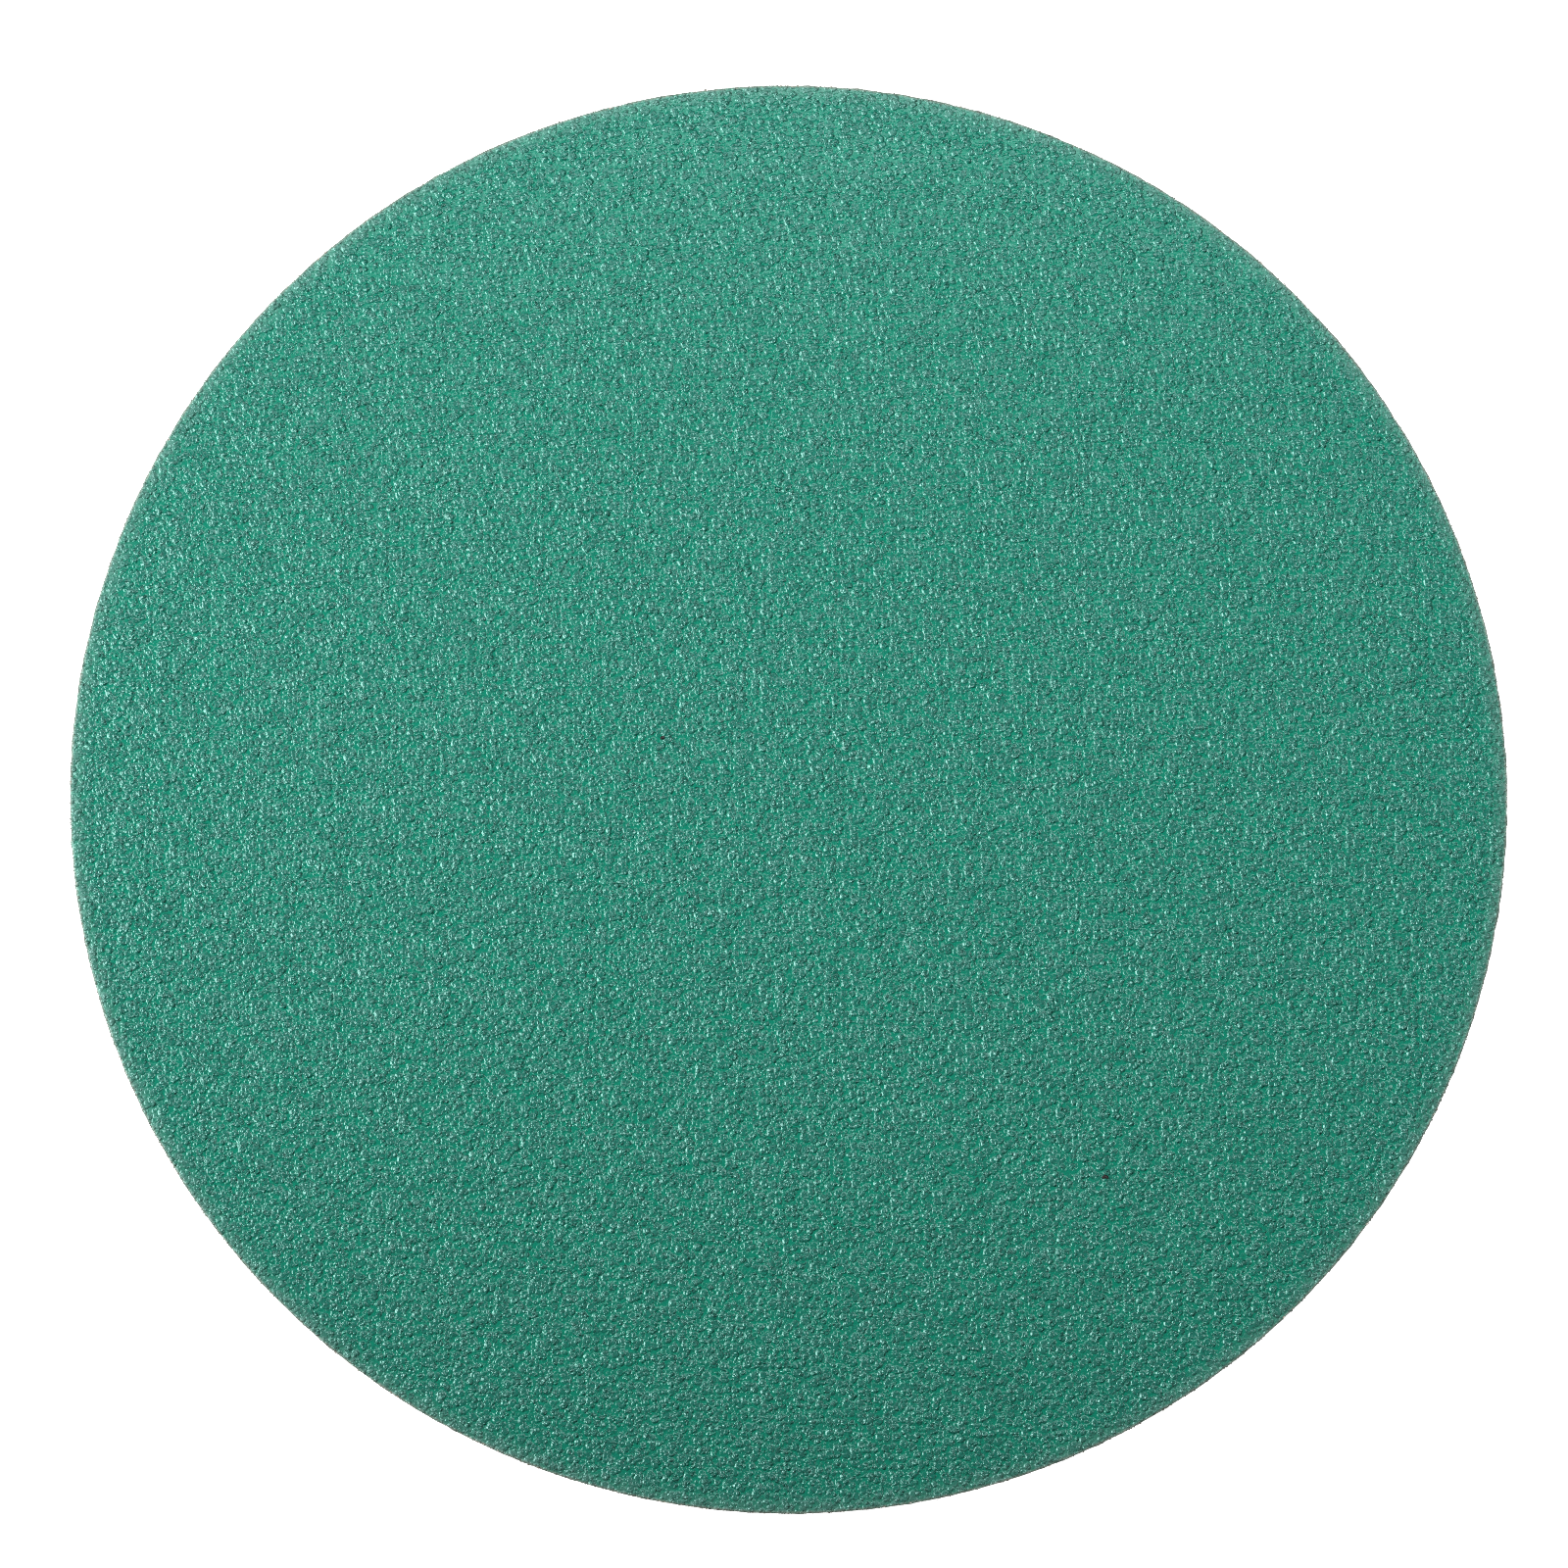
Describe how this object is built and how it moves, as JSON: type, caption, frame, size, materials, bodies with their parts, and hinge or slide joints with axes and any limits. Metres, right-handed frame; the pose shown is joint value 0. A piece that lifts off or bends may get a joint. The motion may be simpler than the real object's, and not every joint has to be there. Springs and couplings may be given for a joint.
{
  "type": "hook and loop sanding disc",
  "caption": "Round coarse grit sanding disc on paper, with a loop cloth back that grips the hook face of a sander's backing pad.",
  "frame": {"origin": "centre of the loop face, on the plane that the loops stand on", "axes": "+Z through the disc, out of the abrasive face; +Y along the rows of loops; +X across them"},
  "size_m": [0.15, 0.15, 0.0021],
  "materials": {
    "green_grit": "coarse aluminium oxide grit under a green, slightly glossy size resin, with bare greyish brown tips",
    "backing_paper": "matt greyish tan heavy paper with a fibrous cut edge",
    "loop_cloth": "off-white nylon loops with a soft sheen, in close lengthwise rows"
  },
  "bodies": {
    "root": {"abrasive_coat": "green_grit", "backing_paper": "backing_paper", "loop_cloth": "loop_cloth"}
  },
  "joints": []
}
